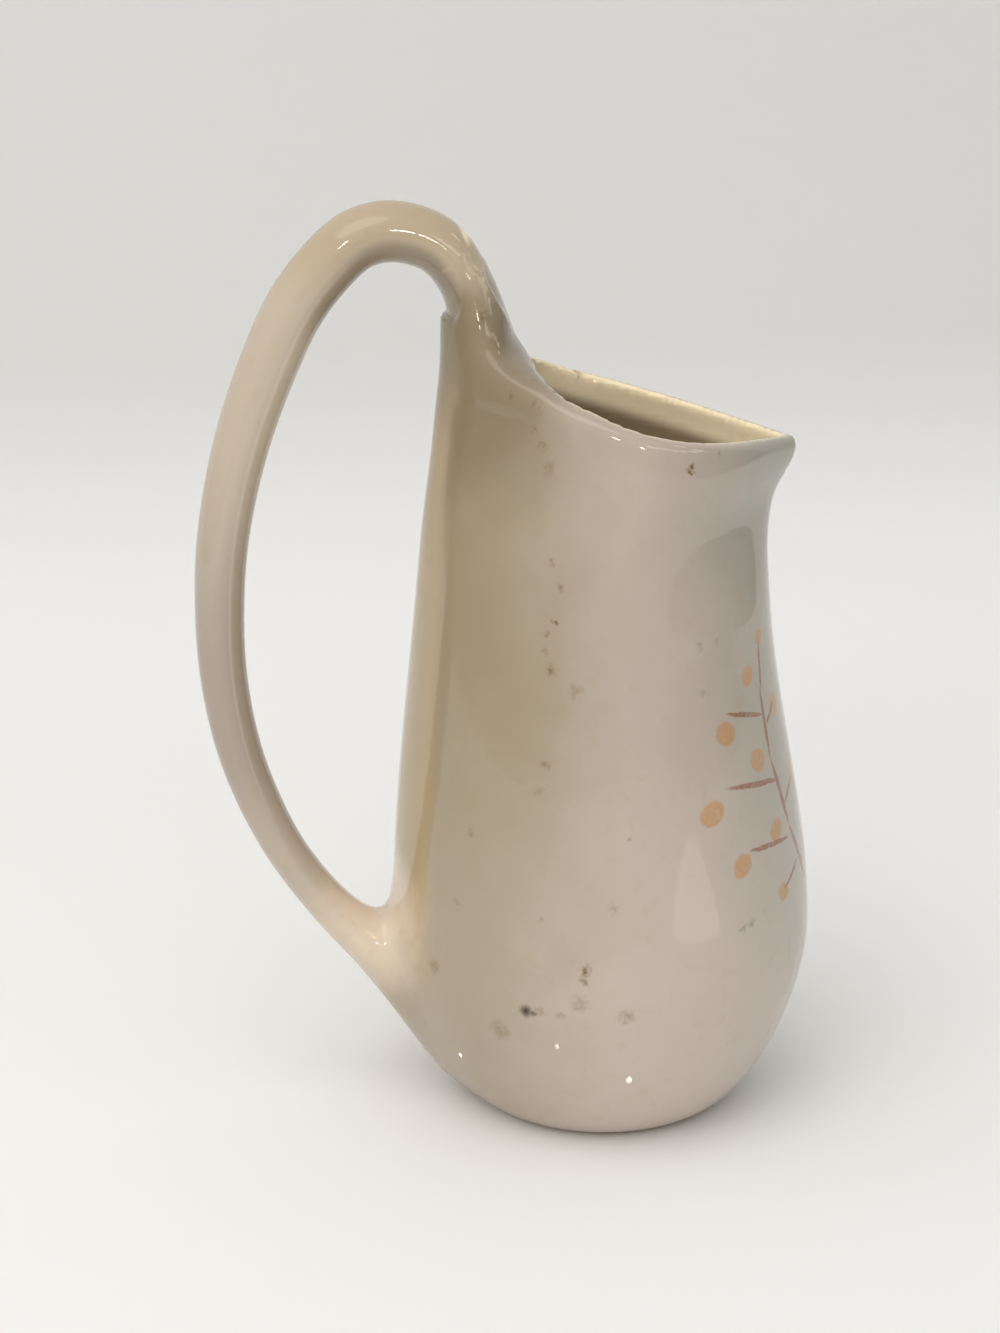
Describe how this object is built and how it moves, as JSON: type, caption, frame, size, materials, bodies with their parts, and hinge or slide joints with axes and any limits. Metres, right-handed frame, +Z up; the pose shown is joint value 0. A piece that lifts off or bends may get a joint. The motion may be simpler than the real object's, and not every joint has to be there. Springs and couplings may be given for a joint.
{
  "type": "creamer",
  "caption": "Tall creamer with a full round body, a narrow waist, a pinched pouring spout and a rim that sweeps up at the back into a high open loop handle.",
  "frame": {"origin": "on the floor, at the middle of the overall length and depth", "axes": "+X towards the spout, +Y across the vessel, +Z up"},
  "size_m": [0.1114, 0.077, 0.1659],
  "materials": {
    "body_glaze": "gloss ivory glaze over cast earthenware",
    "handle_glaze": "gloss ivory glaze over cast earthenware"
  },
  "bodies": {
    "root": {"body": "body_glaze", "handle": "handle_glaze"}
  },
  "joints": []
}
